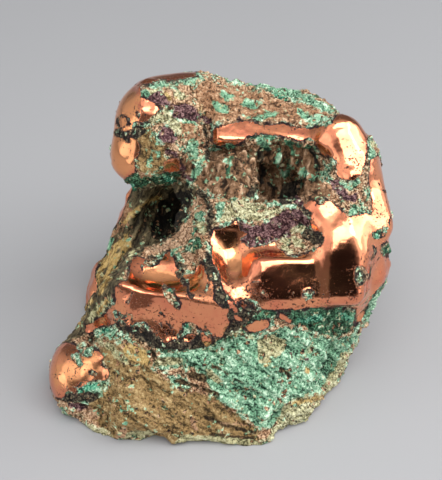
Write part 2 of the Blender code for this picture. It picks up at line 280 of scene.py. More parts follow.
# Bare copper.
BARE = {
    "head cap": (
        (103, 142), (104, 118), (110, 100), (120, 88), (132, 81), (140, 86), (139, 97), (148, 101),
        (155, 104), (160, 110), (153, 115), (147, 121), (141, 123), (134, 122), (132, 128), (131, 140),
        (137, 139), (139, 147), (138, 153), (132, 160), (135, 166), (134, 172), (127, 176), (122, 181),
        (114, 178), (107, 162),
    ),
    "head crown": (
        (136, 84), (138, 78), (158, 69), (176, 66), (194, 69), (197, 75), (186, 78), (170, 79), (158, 79),
        (148, 83),
    ),
    "head patch": ((164, 162), (168, 159), (178, 159), (180, 166), (179, 171), (173, 172), (165, 171)),
    "strip": (
        (213, 135), (213, 129), (218, 127), (226, 126), (240, 122), (252, 121), (257, 124), (262, 127),
        (270, 126), (285, 124), (290, 127), (300, 129), (312, 129), (324, 126), (324, 148), (317, 143),
        (310, 138), (300, 140), (290, 137), (280, 135), (270, 134), (262, 133), (254, 134), (246, 136),
        (243, 141), (236, 144), (228, 143), (220, 146), (214, 142),
    ),
    "knob": (
        (314, 130), (325, 127), (333, 122), (340, 112), (350, 109), (360, 113), (368, 120), (372, 131),
        (367, 137), (366, 152), (365, 162), (360, 175), (352, 180), (340, 178), (337, 172), (337, 160),
        (330, 156), (321, 153), (316, 143),
    ),
    "shoulder, rim and bowl": (
        (303, 206), (311, 201), (325, 198), (331, 203), (342, 212), (349, 218), (357, 216), (364, 213),
        (372, 216), (372, 200), (370, 185), (371, 170), (371, 161), (378, 156), (388, 164), (394, 185),
        (400, 215), (400, 240), (398, 268), (388, 262), (378, 256), (370, 266), (368, 278), (360, 286),
        (352, 290), (345, 300), (343, 306), (330, 306), (300, 308), (280, 309), (262, 308), (256, 300),
        (246, 297), (236, 303), (231, 297), (224, 290), (222, 280), (219, 268), (213, 262), (213, 250),
        (211, 240), (213, 231), (222, 228), (232, 224), (237, 221), (238, 226), (240, 230), (247, 234),
        (240, 238), (241, 243), (250, 247), (262, 247), (274, 243), (276, 248), (280, 251), (290, 257),
        (300, 257), (310, 253), (316, 250), (322, 246), (325, 240), (320, 232), (311, 228), (311, 212),
    ),
    "right edge": (
        (386, 255), (394, 256), (393, 270), (385, 282), (371, 297), (365, 308), (362, 319), (356, 323),
        (357, 309), (350, 305), (343, 306), (350, 292), (362, 286), (370, 278), (372, 268), (380, 258),
    ),
    "left dish and belt": (
        (150, 268), (158, 266), (160, 262), (166, 254), (170, 252), (174, 262), (176, 268), (182, 272),
        (184, 275), (195, 274), (199, 266), (202, 264), (204, 270), (208, 280), (212, 282), (213, 290),
        (212, 300), (216, 305), (222, 309), (229, 309), (227, 316), (229, 322), (225, 330), (222, 337),
        (212, 334), (200, 328), (196, 324), (190, 321), (184, 323), (183, 330), (179, 330), (176, 341),
        (168, 333), (160, 328), (157, 330), (155, 337), (152, 330), (146, 321), (140, 322), (133, 324),
        (128, 327), (124, 321), (120, 320), (112, 325), (104, 324), (97, 327), (90, 333), (85, 332),
        (88, 325), (97, 320), (104, 317), (110, 308), (114, 306), (117, 300), (115, 289), (121, 282),
        (128, 281), (130, 270), (133, 258), (139, 256), (144, 259), (145, 266),
    ),
    "islands": [
        ((157, 330), (162, 328), (166, 333), (171, 339), (166, 342), (160, 337)),
        ((184, 339), (190, 334), (195, 336), (190, 341), (184, 343)),
        ((200, 332), (205, 332), (211, 342), (207, 347), (202, 340)),
        ((247, 327), (256, 321), (268, 320), (268, 327), (258, 332), (250, 332)),
        (1.8, (281, 316), (290, 321)),
    ],
    "ridge specks": [
        (1.2, (228, 300), (231, 303)), (1.5, (232, 306), (236, 310)), (1.2, (241, 304), (245, 306)),
        (1.5, (236, 317), (240, 319)), (1.2, (250, 303), (254, 306)),
    ],
    "foot": (
        (42, 388), (45, 368), (53, 353), (62, 344), (70, 344), (76, 346), (79, 352), (82, 356), (88, 357),
        (92, 355), (96, 350), (100, 352), (103, 357), (101, 362), (102, 368), (107, 369), (108, 376),
        (104, 379), (96, 379), (90, 380), (84, 385), (76, 389), (76, 393), (70, 391), (66, 391), (62, 397),
        (56, 397), (50, 403), (45, 398),
    ),
    "slab rim": (2.5, (124, 196), (112, 216), (106, 230), (100, 246), (96, 256), (93, 266)),
    "slab tip": (2.5, (70, 326)),
    # On the sides that the camera doesn't see, in millimetres.
    "back of the head": (10.0, (-38, 44, 118), (-28, 50, 108)),
    "back lump": [(12.0, (20, 66, 84), (36, 62, 90), (52, 52, 88)), (10.0, (-34, 64, 78), (-24, 67, 66))],
    "right side": [(11.0, (76, -6, 66), (74, -2, 48)), (10.0, (66, 30, 90), (62, 40, 66))],
    "back": [(11.0, (52, 50, 30), (36, 60, 20)), (8.0, (2, 70, 50), (-10, 68, 38))],
    "left side": [(10.0, (-52, 44, 66), (-58, 40, 50)), (9.0, (-68, 22, 12), (-58, 38, 14))],
}
CRUST_ON_BARE = {
    "head ring": (2, (121, 115), (127, 118), (128, 124), (122, 128), (117, 124), (118, 118)),
    "head dark spot": [
        (4.5, (117, 133), (124, 136), (130, 134)), (2.5, (125, 139), (128, 141)),
        (6, (137, 127), (142, 133)),
    ],
    "head grey spot": (2.5, (137, 113), (138, 117)),
    "grey spot": (3, (318, 202), (323, 201)),
    "dendrite": (
        (306, 230), (315, 230), (321, 232), (325, 238), (322, 246), (316, 243), (312, 252), (306, 250),
    ),
    "rim mark": (2, (384, 190), (390, 193)),
    "rim line": (1.0, (392, 205), (391, 218), (386, 232), (384, 238)),
    "rim green": [
        ((371, 233), (378, 229), (385, 225), (384, 233), (380, 240), (373, 239)),
        ((379, 245), (386, 240), (394, 242), (395, 254), (388, 259), (380, 254)),
    ],
    "rim dark": (2.0, (373, 246), (376, 252), (372, 259)),
    "bulge patch": ((355, 268), (362, 264), (366, 269), (370, 276), (365, 284), (357, 287), (353, 280)),
    "bowl crust": ((302, 290), (310, 287), (316, 291), (314, 297), (306, 301), (301, 297)),
    "bowl green dot": (1.2, (293, 292)),
    "bowl streak": [(1.5, (240, 284), (250, 282), (262, 281)), (2.0, (262, 291), (268, 297))],
    "dish streak": [
        ((174, 270), (181, 270), (184, 278), (187, 285), (183, 287), (180, 281), (176, 277)),
        (
            (184, 277), (188, 277), (190, 284), (189, 292), (194, 292), (195, 297), (191, 301), (187, 297),
            (186, 288),
        ),
    ],
    "dish patch": (
        (163, 281), (168, 287), (174, 288), (178, 297), (182, 302), (181, 307), (178, 312), (174, 307),
        (171, 303), (168, 302), (164, 295), (161, 288),
    ),
    "dish green": (2.5, (208, 284), (206, 292)),
    "belt hole": (5, (186, 327), (194, 330)),
    "belt fringe": [
        (1.2, (143, 322), (150, 328), (158, 336)), (1.2, (152, 317), (158, 322), (164, 331)),
        (1.2, (166, 322), (172, 330), (178, 338)), (1.2, (204, 322), (208, 332)),
        (1.2, (118, 312), (124, 318), (128, 314), (133, 318)),
    ],
    "belt mark": [
        ((113, 308), (118, 311), (118, 318), (115, 319), (113, 313)), (2.0, (132, 294), (127, 303)),
    ],
    "belt marks": [
        (1.5, (126, 314), (132, 315)), (1.5, (161, 313), (166, 317)), (2.0, (169, 324), (172, 328)),
        (1.5, (160, 321), (162, 325)),
    ],
    "wall mark": [(2.0, (142, 266), (142, 270)), (1.5, (121, 282), (121, 292))],
    "foot patch": [
        ((71, 354), (76, 352), (80, 356), (83, 362), (83, 367), (79, 369), (75, 364), (70, 360)),
        ((87, 369), (92, 369), (98, 373), (97, 377), (90, 376)),
    ],
    "foot seam": (1.0, (66, 388), (76, 386), (86, 381), (94, 378)),
    "foot spot": (1.2, (55, 377)),
}
# Where bare copper is peppered with specks of crust.
PEPPER = {
    "knob": (7, (352, 158), (360, 170), (362, 190)),
    "rim": (7, (374, 206), (378, 214)),
    "bowl": [
        (8, (222, 282), (236, 288), (250, 292), (266, 300)),
        (4, (262, 304), (285, 304), (310, 303), (330, 302)), (5, (316, 292), (326, 298)),
    ],
    "right edge": (5, (368, 256), (374, 250), (356, 300), (350, 300)),
    "belt": [
        (9, (112, 322), (140, 324), (160, 330), (176, 335), (206, 336)),
        (5, (130, 300), (160, 314), (184, 322)),
    ],
    "dish": (5, (165, 290), (176, 300), (196, 298), (206, 296)),
    "ridge": (6, (214, 284), (226, 300), (240, 300)),
    "head": (4, (140, 112), (136, 122)),
    "foot": (4, (70, 352), (84, 356), (62, 392), (72, 392)),
}
# Where the bare copper is more golden.
GOLDEN = {
    "head": (16, (124, 100), (120, 160)),
    "foot": (14, (64, 376), (88, 366)),
    "dish": (10, (228, 240), (234, 266)),
    "wall dish": (8, (150, 276), (200, 284)),
}
# Where the bare copper is worn smoothest.
WORN = {
    "knob": (22, (344, 145)),
    "dish beside the bowl": (14, (226, 244), (230, 262)),
    "shoulder": (12, (316, 212), (326, 216)),
    "lip": (8, (247, 250), (250, 266)),
    "rim": (9, (378, 170), (380, 200), (378, 220)),
    "head": (16, (124, 100), (118, 150)),
}
# Where each of the crust's colours lies.
ZONES = {
    "slab": {
        "slab": (
            (200, 186), (170, 180), (130, 182), (112, 204), (98, 240), (84, 290), (60, 330), (66, 345),
            (84, 335), (108, 312), (118, 285), (132, 262), (146, 250), (176, 240), (195, 205),
        ),
    },
    "earth": {
        "wall": (
            (92, 352), (110, 345), (125, 340), (140, 345), (150, 352), (154, 370), (166, 380), (185, 386),
            (214, 396), (240, 415), (256, 427), (262, 444), (240, 450), (190, 450), (150, 444), (110, 440),
            (92, 420), (84, 408), (96, 396), (110, 384), (106, 366),
        ),
        "head": (
            (138, 128), (150, 124), (156, 140), (166, 150), (164, 172), (150, 176), (138, 170), (134, 150),
        ),
    },
    "gold": {
        "wall": [
            ((120, 345), (132, 343), (146, 350), (152, 360), (148, 368), (134, 362), (126, 356)),
            (3, (265, 366), (270, 362)), (4, (307, 371)), (3, (293, 403), (308, 400), (321, 396)),
        ],
        "slab streak": (
            (92, 284), (97, 268), (103, 258), (112, 247), (122, 237), (131, 230), (127, 242), (117, 254),
            (108, 266), (101, 278), (97, 286),
        ),
        "slab": [
            (3, (160, 202), (164, 199)), (3, (99, 312), (106, 302)),
            (3, (160, 196), (140, 206), (124, 222)), (4, (128, 244), (112, 268), (100, 292)),
            (3, (92, 300), (80, 322)),
        ],
        "head": [(3, (167, 94), (167, 101)), (3, (176, 97))],
        "base": (4, (282, 438), (290, 436)),
    },
    "tan": {
        "top": (
            (196, 86), (212, 82), (238, 86), (258, 92), (275, 98), (305, 105), (322, 112), (330, 120),
            (300, 124), (270, 122), (240, 120), (210, 124), (202, 112), (196, 98),
        ),
        "head": ((180, 120), (195, 122), (203, 132), (200, 145), (186, 142), (178, 132)),
        "hollow ridge": (5, (300, 196), (308, 188), (318, 182)),
        "hollow shelf": (4, (318, 188), (326, 196)),
        "slab side": (6, (112, 232), (122, 222), (128, 210)),
    },
    "brown": {
        "buttress": (
            (210, 152), (225, 146), (243, 146), (252, 152), (256, 170), (252, 188), (248, 198), (225, 200),
            (206, 190), (200, 172),
        ),
        "hollow": (
            (250, 146), (262, 136), (300, 142), (318, 152), (326, 172), (318, 186), (300, 200), (270, 204),
            (256, 190),
        ),
        "head": (6, (184, 160), (194, 172), (202, 184)),
        "shelf": ((300, 196), (312, 184), (330, 186), (336, 194), (318, 200), (306, 202)),
    },
    "dark_green": {
        # A dark band under the bowl's overhang: partly the crust's own dark green, partly painted shade.
        "under the bowl": (
            (262, 309), (300, 308), (343, 306), (356, 312), (352, 330), (335, 340), (322, 334), (300, 326),
            (284, 320), (268, 320), (256, 334), (236, 336), (246, 316),
        ),
        "head underside": (
            (118, 178), (135, 172), (150, 176), (164, 172), (178, 172), (184, 182), (170, 186), (150, 184),
            (135, 192), (122, 188),
        ),
        "belt hole": (3, (190, 328)),
        "dish patch": (3, (172, 292)),
        "right edge": (6, (352, 322), (366, 306), (378, 292), (386, 278)),
        "hollow": [
            (3, (250, 138), (262, 136), (280, 140), (300, 144), (316, 148)),
            (3, (292, 146), (290, 162), (286, 176)), (2.5, (231, 160), (226, 176)),
        ],
        "strip foot": (2.5, (214, 146), (228, 147), (240, 144)),
        "rim green": [(4, (378, 234)), (6, (387, 250))],
        "under the lip": (5, (196, 240), (198, 246), (178, 258)),
        "foot": (3, (66, 394), (68, 400)),
        "shoulder crust": (4, (353, 212), (356, 208)),
        "islands": (6, (165, 348), (186, 346), (206, 350), (230, 340)),
    },
    # Black is partly the crust's own dark patches and partly painted shade in the hole, the grooves and under
    # the ledge.
    "black": {
        "ridge": (
            (205, 248), (212, 255), (218, 270), (226, 290), (236, 303), (248, 299), (262, 310), (250, 322),
            (238, 330), (224, 340), (212, 337), (226, 326), (228, 312), (218, 308), (210, 296), (203, 266),
        ),
        "under the belt": (
            (112, 324), (122, 320), (130, 327), (142, 322), (150, 332), (160, 332), (172, 342), (184, 334),
            (200, 334), (212, 344), (196, 350), (170, 352), (150, 348), (134, 338), (120, 332),
        ),
        "head spots": (6, (120, 134), (130, 136), (140, 130)),
        "head ring": (3, (122, 115), (127, 121), (122, 126), (116, 121)),
        # Painted shade: the grooves beside the head and the strip are darkened where shade falls in them.
        "groove": [
            (3, (204, 125), (208, 140), (207, 160)), (4, (198, 192), (206, 196), (212, 212), (208, 230)),
        ],
        "bulge patch": (6, (360, 276)),
        "dendrite": (7, (308, 236), (318, 238)),
        # Painted shade: the deep hole in the central hollow, its grooves and its back are painted black where
        # shade falls.
        "hole": ((282, 184), (290, 180), (303, 178), (300, 192), (292, 204), (282, 206), (276, 200)),
        "hollow groove": [(3.5, (260, 150), (262, 172), (256, 186), (250, 196)), (3, (312, 150), (318, 168))],
        "hollow back": (3, (266, 184), (276, 188)),
        "patch": ((300, 206), (308, 206), (311, 213), (308, 218), (302, 216)),
        "foot": (5, (66, 398), (80, 398), (96, 396)),
        "wall left": (3, (90, 332), (92, 345)),
        "dish": (4, (178, 276), (188, 290), (192, 297)),
        "right edge": (3, (360, 290), (352, 298), (366, 300)),
        # Painted shadow under the overhanging ledge.
        "under the ledge": (4, (150, 258), (158, 262), (186, 266)),
    },
    "mint": {
        "front wall": (
            (188, 350), (204, 346), (226, 340), (246, 334), (262, 336), (284, 326), (304, 330), (322, 338),
            (345, 336), (356, 330), (352, 350), (340, 372), (330, 392), (312, 402), (290, 412), (270, 430),
            (256, 428), (240, 414), (222, 404), (212, 392), (200, 374), (184, 368), (160, 370), (155, 360),
            (162, 353),
        ),
        "top left corner": ((96, 328), (106, 325), (118, 328), (119, 336), (112, 340), (102, 336)),
        "under the belt": (5, (134, 328), (144, 332), (150, 338), (160, 346)),
        "right edge": (5, (366, 318), (374, 304), (384, 290), (390, 276)),
        "top edge": (
            (240, 84), (262, 82), (284, 82), (300, 90), (340, 112), (330, 116), (300, 100), (275, 96),
            (262, 90),
        ),
        "top patches": [
            (4, (222, 94), (230, 97)), (5, (246, 105), (256, 104)), (4, (214, 102), (218, 108), (226, 110)),
            (4, (256, 120), (265, 116), (275, 114)), (4, (300, 112), (310, 120), (325, 118)),
        ],
        "head": [
            (
                (140, 92), (146, 84), (160, 80), (178, 80), (192, 74), (204, 78), (196, 86), (180, 87),
                (160, 90),
            ),
            (5, (144, 94), (150, 96)), (1.5, (148, 130), (154, 126), (160, 118)),
            (2, (150, 140), (156, 146)), (1.2, (153, 150), (150, 160), (146, 170)),
            (1.5, (160, 150), (156, 162)), (1.5, (146, 174), (155, 172), (161, 168)),
            ((184, 140), (194, 138), (200, 142), (198, 158), (190, 164), (186, 152)),
            (4, (202, 160), (198, 170), (190, 182)),
        ],
        "hollow": [
            ((254, 138), (262, 134), (272, 144), (270, 154), (260, 148)),
            (3, (279, 152), (277, 160), (282, 170)), (3, (282, 174), (292, 168)),
            (4, (303, 172), (312, 178), (324, 174), (330, 182)), (3, (300, 186), (302, 176)),
        ],
        "buttress": [(2, (226, 162), (231, 165)), (2, (218, 178), (227, 177))],
        "lip": [
            ((214, 200), (226, 200), (226, 212), (222, 222), (216, 222)),
            (5, (198, 208), (200, 218), (202, 230)),
        ],
        "shoulder crust": [(5, (350, 186), (356, 182)), (4, (354, 212))],
        "knob side": (4, (371, 138), (372, 158)),
        "foot": [
            ((78, 391), (86, 383), (96, 381), (110, 380), (108, 388), (100, 392), (90, 396), (80, 395)),
            (3, (78, 356), (81, 364)), (3, (92, 372)),
        ],
        "base": (4, (62, 410), (76, 424), (98, 432)),
        "lump": (3, (174, 252), (178, 260), (186, 249), (192, 248)),
        "slab": (3, (106, 250), (111, 240)),
    },
    "emerald": {
        "foot": [(3.5, (80, 392), (88, 388), (97, 385)), (2, (104, 372), (104, 382))],
        "ledge": (2.5, (172, 254), (182, 246), (191, 240), (196, 228)),
        "lip": (2.5, (200, 206), (203, 216)),
        "head underside": [(2.5, (121, 183), (134, 187)), (3, (164, 178), (173, 181))],
        "dish patch": (2.5, (171, 290)),
        "belt hole": (3, (187, 326)),
        "top": (3, (276, 97), (285, 98)),
        "hollow": (3, (264, 149)),
        "under the bowl": [(4, (300, 320), (320, 317)), (4, (340, 313), (350, 318))],
        "rim green": [(3, (378, 236)), (3, (388, 250))],
        "top left corner": (2.5, (100, 331), (110, 330)),
    },
    "umber": {
        "wall": [
            (3, (176, 381), (198, 387), (218, 395)), (3, (207, 417), (232, 428), (254, 433)),
            (4, (212, 436), (236, 438), (252, 440)), (2.5, (211, 367), (222, 370), (230, 375)),
            (1.5, (226, 375), (244, 383), (261, 393)), (2.5, (281, 370), (290, 376)),
            (4, (191, 375), (205, 379)), (3, (152, 352), (157, 364)),
        ],
        "slab": [
            (2, (150, 214), (138, 236), (122, 262)), (2, (128, 214), (114, 244), (104, 270)),
            (2, (96, 292), (84, 318), (72, 332)),
        ],
    },
    "pale": {
        "lip": [
            (
                (218, 222), (225, 205), (232, 200), (245, 198), (262, 205), (272, 208), (285, 205),
                (292, 202), (285, 212), (275, 218), (262, 222), (250, 222), (240, 218), (230, 222),
            ),
            ((194, 218), (206, 222), (208, 232), (204, 238), (198, 232)),
        ],
        "front wall": [
            ((256, 340), (270, 334), (284, 338), (290, 346), (282, 356), (268, 364), (258, 362)),
            ((202, 366), (212, 368), (226, 380), (218, 384), (206, 376)), (5, (160, 362), (180, 362)),
        ],
        "right lower edge": (
            (352, 350), (348, 362), (334, 388), (322, 396), (320, 388), (334, 366), (342, 352),
        ),
        "base": [
            ((284, 402), (300, 395), (326, 390), (316, 410), (302, 434), (284, 444), (264, 442), (272, 430)),
            (
                (54, 406), (62, 409), (74, 420), (88, 421), (104, 428), (116, 440), (113, 448), (92, 442),
                (64, 422),
            ),
            ((120, 436), (128, 431), (152, 431), (158, 436), (168, 440), (168, 450), (130, 448), (121, 443)),
            ((174, 442), (184, 434), (200, 434), (240, 438), (262, 440), (262, 450), (176, 450)),
        ],
        "wall": ((96, 336), (112, 342), (124, 352), (130, 364), (122, 366), (110, 352), (98, 346)),
        "head": [
            ((146, 90), (158, 88), (166, 92), (160, 98), (152, 98)),
            ((170, 90), (182, 90), (190, 98), (182, 102), (172, 98)),
            ((160, 108), (168, 106), (176, 118), (184, 130), (182, 140), (172, 132), (164, 120)),
            (5, (150, 120), (160, 118)),
        ],
        "patch blobs": [
            ((264, 230), (270, 227), (276, 232), (274, 240), (266, 239)),
            ((262, 241), (270, 238), (275, 241), (268, 246), (262, 246)), (3, (283, 239), (287, 242)),
            (4, (294, 230), (302, 229)), ((290, 238), (300, 236), (307, 240), (306, 248), (296, 249)),
            (3, (284, 248), (290, 252)),
        ],
        "slab foot": ((86, 318), (92, 308), (102, 300), (110, 290), (112, 300), (104, 314), (92, 322)),
        "slab fleck": (2, (130, 256), (134, 250)),
        "foot edge": (2.5, (102, 363), (106, 368)),
        "knob side": (3, (370, 132), (373, 146)),
    },
    "ledge": {
        "ledge": (
            (143, 249), (148, 247), (158, 246), (166, 242), (172, 235), (178, 231), (184, 224), (189, 216),
            (190, 206), (194, 196), (201, 192), (206, 200), (203, 210), (196, 215), (193, 225), (191, 238),
            (186, 247), (180, 248), (170, 251), (160, 254), (148, 255),
        ),
        "lump": ((178, 252), (186, 250), (193, 252), (197, 260), (192, 264), (184, 262)),
        "foot": (5, (88, 410), (96, 416)),
        "base": [(4, (118, 436), (124, 430)), (3, (120, 446), (140, 447))],
        "wall": [(1.5, (221, 423), (240, 424), (258, 427)), (2, (192, 420), (197, 430))],
    },
    "cuprite": {
        "patch": (
            (238, 219), (246, 222), (254, 225), (264, 222), (276, 215), (283, 209), (298, 207), (306, 212),
            (311, 222), (308, 228), (300, 224), (292, 228), (290, 238), (284, 236), (275, 242), (262, 246),
            (250, 247), (240, 240), (246, 234), (240, 230),
        ),
        "beside the knob": (
            (328, 180), (338, 178), (346, 190), (350, 196), (358, 190), (358, 202), (346, 202), (332, 192),
        ),
        "head": [
            ((142, 99), (150, 95), (160, 90), (167, 100), (174, 105), (168, 110), (158, 106), (150, 103)),
            ((170, 118), (172, 106), (184, 102), (194, 106), (202, 116), (199, 123), (186, 122), (178, 119)),
            ((155, 138), (163, 124), (171, 128), (179, 137), (173, 144), (164, 143)),
            (4, (168, 152), (176, 154)), (3, (180, 164), (186, 174), (192, 180)),
        ],
        "strip": (4, (204, 118), (210, 122)),
        "belt edge": (3, (118, 324), (134, 330), (150, 334)),
        "foot": (4, (72, 404), (84, 406)),
        "hollow foot": (4, (300, 204), (296, 200)),
        "wall": [(1.5, (291, 353)), (1.5, (300, 359), (307, 358)), (1.5, (262, 376), (269, 377))],
    },
    # Painted shade in the cave under the head, over crust that is dark itself.
    "cave_shade": {
        "cave": (
            (152, 218), (160, 200), (178, 190), (194, 188), (192, 204), (184, 222), (172, 236), (160, 244),
            (152, 236),
        ),
    },
}


class Formula:
    """Writes a formula over space as nodes. Each call adds one node and returns its result."""

    def __init__(self, tree):
        self.tree = tree

    def feed(self, node, values):
        for socket, value in zip(node.inputs, values):
            self.feed_one(socket, value)

    def feed_one(self, socket, value):
        if isinstance(value, bpy.types.NodeSocket):
            self.tree.links.new(value, socket)
        else:
            socket.default_value = value

    def number(self, operation, *values, clamp=False):
        node = self.tree.nodes.new("ShaderNodeMath")
        node.operation = operation
        node.use_clamp = clamp
        self.feed(node, values)
        return node.outputs[0]

    def plus(self, start, value, times):
        return self.number("MULTIPLY_ADD", value, times, start)

    def minus(self, value):
        return self.number("MULTIPLY", value, -1.0)

    def rest(self, share):
        """What a share leaves of 1."""
        return self.number("SUBTRACT", 1.0, share)

    def vector(self, operation, *values):
        node = self.tree.nodes.new("ShaderNodeVectorMath")
        node.operation = operation
        self.feed(node, values)
        gives_number = operation in ("LENGTH", "DOT_PRODUCT")
        return node.outputs["Value" if gives_number else "Vector"]

    def scaled(self, vector, factor):
        node = self.tree.nodes.new("ShaderNodeVectorMath")
        node.operation = "SCALE"
        self.tree.links.new(vector, node.inputs[0])
        self.feed_one(node.inputs["Scale"], factor)
        return node.outputs["Vector"]

    def turned_back(self, point, turn):
        if not any(turn):
            return point
        node = self.tree.nodes.new("ShaderNodeVectorRotate")
        node.rotation_type = "EULER_XYZ"
        node.invert = True
        self.tree.links.new(point, node.inputs["Vector"])
        node.inputs["Rotation"].default_value = [math.radians(a) for a in turn]
        return node.outputs["Vector"]

    def parts_of(self, vector):
        node = self.tree.nodes.new("ShaderNodeSeparateXYZ")
        self.tree.links.new(vector, node.inputs[0])
        return node.outputs[0], node.outputs[1], node.outputs[2]

    def noise(self, point, length, detail=2.0, roughness=0.5):
        """Smooth noise, from about -1 to 1, with lumps about this many millimetres across."""
        node = self.tree.nodes.new("ShaderNodeTexNoise")
        self.tree.links.new(point, node.inputs["Vector"])
        node.inputs["Scale"].default_value = 1.0 / length
        node.inputs["Detail"].default_value = detail
        node.inputs["Roughness"].default_value = roughness
        return self.plus(-1.0, node.outputs[0], 2.0)

    def cells(self, point, length):
        """Round grains about this many millimetres across: 0 at a grain's middle, near 1 between grains."""
        node = self.tree.nodes.new("ShaderNodeTexVoronoi")
        self.tree.links.new(point, node.inputs["Vector"])
        node.inputs["Scale"].default_value = 1.0 / length
        return node.outputs["Distance"]

    def grains(self, point, length):
        """Grains this many millimetres across: how near a point is to a gap, and each grain's two chances."""
        node = self.tree.nodes.new("ShaderNodeTexVoronoi")
        self.tree.links.new(point, node.inputs["Vector"])
        node.inputs["Scale"].default_value = 1.0 / length
        chances = self.parts_of(node.outputs["Color"])
        return node.outputs["Distance"], chances[0], chances[1]

    def lumps_of(self, point, length):
        """Noise of three numbers, from about -1 to 1."""
        node = self.tree.nodes.new("ShaderNodeTexNoise")
        self.tree.links.new(point, node.inputs["Vector"])
        node.inputs["Scale"].default_value = 1.0 / length
        node.inputs["Detail"].default_value = 2.0
        return self.scaled(self.vector("SUBTRACT", node.outputs["Color"], (0.5, 0.5, 0.5)), 2.0)

    def ramp(self, value, width, start=0.0):
        """0 where value is start or less, rising smoothly to 1 where it is width more."""
        node = self.tree.nodes.new("ShaderNodeMapRange")
        node.interpolation_type = "SMOOTHSTEP"
        self.tree.links.new(value, node.inputs["Value"])
        node.inputs["From Min"].default_value = start
        node.inputs["From Max"].default_value = start + width
        return node.outputs[0]

    def between(self, low, high, share):
        node = self.tree.nodes.new("ShaderNodeMix")
        self.feed_one(node.inputs[0], share)
        self.feed_one(node.inputs[2], low)
        self.feed_one(node.inputs[3], high)
        return node.outputs[0]

    def colour(self, low, high, share):
        node = self.tree.nodes.new("ShaderNodeMix")
        node.data_type = "RGBA"
        self.feed_one(node.inputs[0], share)
        for socket, value in ((node.inputs[6], low), (node.inputs[7], high)):
            self.feed_one(socket, value if isinstance(value, bpy.types.NodeSocket) else (*value, 1.0))
        return node.outputs[2]

    def zone(self, name, softness):
        """1 well inside a painted zone, 0 well outside, and ragged between."""
        wander = self.noise(self.home(), *EDGE)
        return self.ramp(self.plus(self.minus(self.named(name)), wander, softness), softness * 0.3)

    # Distances to single forms.

    def ball(self, point, centre, radii, turn):
        local = self.turned_back(self.vector("SUBTRACT", point, centre), turn)
        once = self.vector("DIVIDE", local, radii)
        reach = self.vector("LENGTH", once)
        slope = self.vector("LENGTH", self.vector("DIVIDE", once, radii))
        past = self.number("SUBTRACT", reach, 1.0)
        return self.number("DIVIDE", self.number("MULTIPLY", reach, past), slope)

    def block(self, point, centre, half, turn, rounding):
        local = self.turned_back(self.vector("SUBTRACT", point, centre), turn)
        inner = [size - rounding for size in half]
        past = self.vector("SUBTRACT", self.vector("ABSOLUTE", local), inner)
        outside = self.vector("LENGTH", self.vector("MAXIMUM", past, (0.0, 0.0, 0.0)))
        x, y, z = self.parts_of(past)
        deepest = self.number("MAXIMUM", self.number("MAXIMUM", x, y), z)
        inside = self.number("MINIMUM", deepest, 0.0)
        return self.number("SUBTRACT", self.number("ADD", outside, inside), rounding)

    def rope(self, point, start, end, start_radius, end_radius):
        run = [b - a for a, b in zip(start, end)]
        length_squared = sum(c * c for c in run)
        along = self.vector("SUBTRACT", point, start)
        share = self.number("DIVIDE", self.vector("DOT_PRODUCT", along, run), length_squared, clamp=True)
        run_node = self.tree.nodes.new("ShaderNodeCombineXYZ")
        self.feed(run_node, run)
        off = self.vector("SUBTRACT", along, self.scaled(run_node.outputs[0], share))
        radius = self.plus(start_radius, share, end_radius - start_radius)
        return self.number("SUBTRACT", self.vector("LENGTH", off), radius)

    def form(self, point, spec):
        kind, *sizes, softness = spec
        return getattr(self, kind)(point, *sizes), softness

    # Joins.

    def added(self, distance, point, specs):
        for spec in specs:
            other, softness = self.form(point, spec)
            if distance is None:
                distance = other
            else:
                distance = self.number("SMOOTH_MIN", distance, other, softness)
        return distance

    def carved(self, distance, point, specs):
        for spec in specs:
            other, softness = self.form(point, spec)
            distance = self.number("SMOOTH_MAX", distance, self.minus(other), softness)
        return distance


def nugget_distance(formula, point):
    """Millimetres from a point to the nugget's surface, below zero inside."""
    distance = formula.added(None, point, MASSES)
    distance = formula.carved(distance, point, HOLLOWS)
    distance = formula.added(distance, point, RIDGES + THICK_CRUST)
    crusted = formula.ramp(formula.added(None, point, POLISHED), CRUST_EDGE)
    relief = 0.0
    for length, height in (SWELL, KNOBS):
        relief = formula.plus(relief, formula.noise(point, length), height)
    distance = formula.plus(distance, relief, crusted)
    return formula.number("MAXIMUM", distance, formula.minus(formula.parts_of(point)[2]))


class Shade(Formula):
    """A material's nodes, which read what is kept on the mesh, with the noises that they share."""

    def __init__(self, tree):
        super().__init__(tree)
        self.point = self.home()
        self.height = self.named("relief")
        self.fine = self.noise(self.point, *FINE)
        self.blotch = self.noise(self.point, *BLOTCH)
        self.medium = self.noise(self.point, *MEDIUM)
        self.coarse = self.noise(self.point, *COARSE)
        self.broad = self.noise(self.point, *BROAD)
        self.bend = self.vector("ADD", self.point, self.scaled(self.lumps_of(self.point, 3.0), 1.4))
        self.gap, self.chance, self.second_chance = self.grains(self.bend, GRAIN)
        self.small_chance = self.grains(self.bend, SMALL_GRAIN)[1]

    def named(self, name, output="Fac"):
        node = self.tree.nodes.new("ShaderNodeAttribute")
        node.attribute_name = name
        return node.outputs[output]

    def home(self):
        return self.named("home", "Vector")


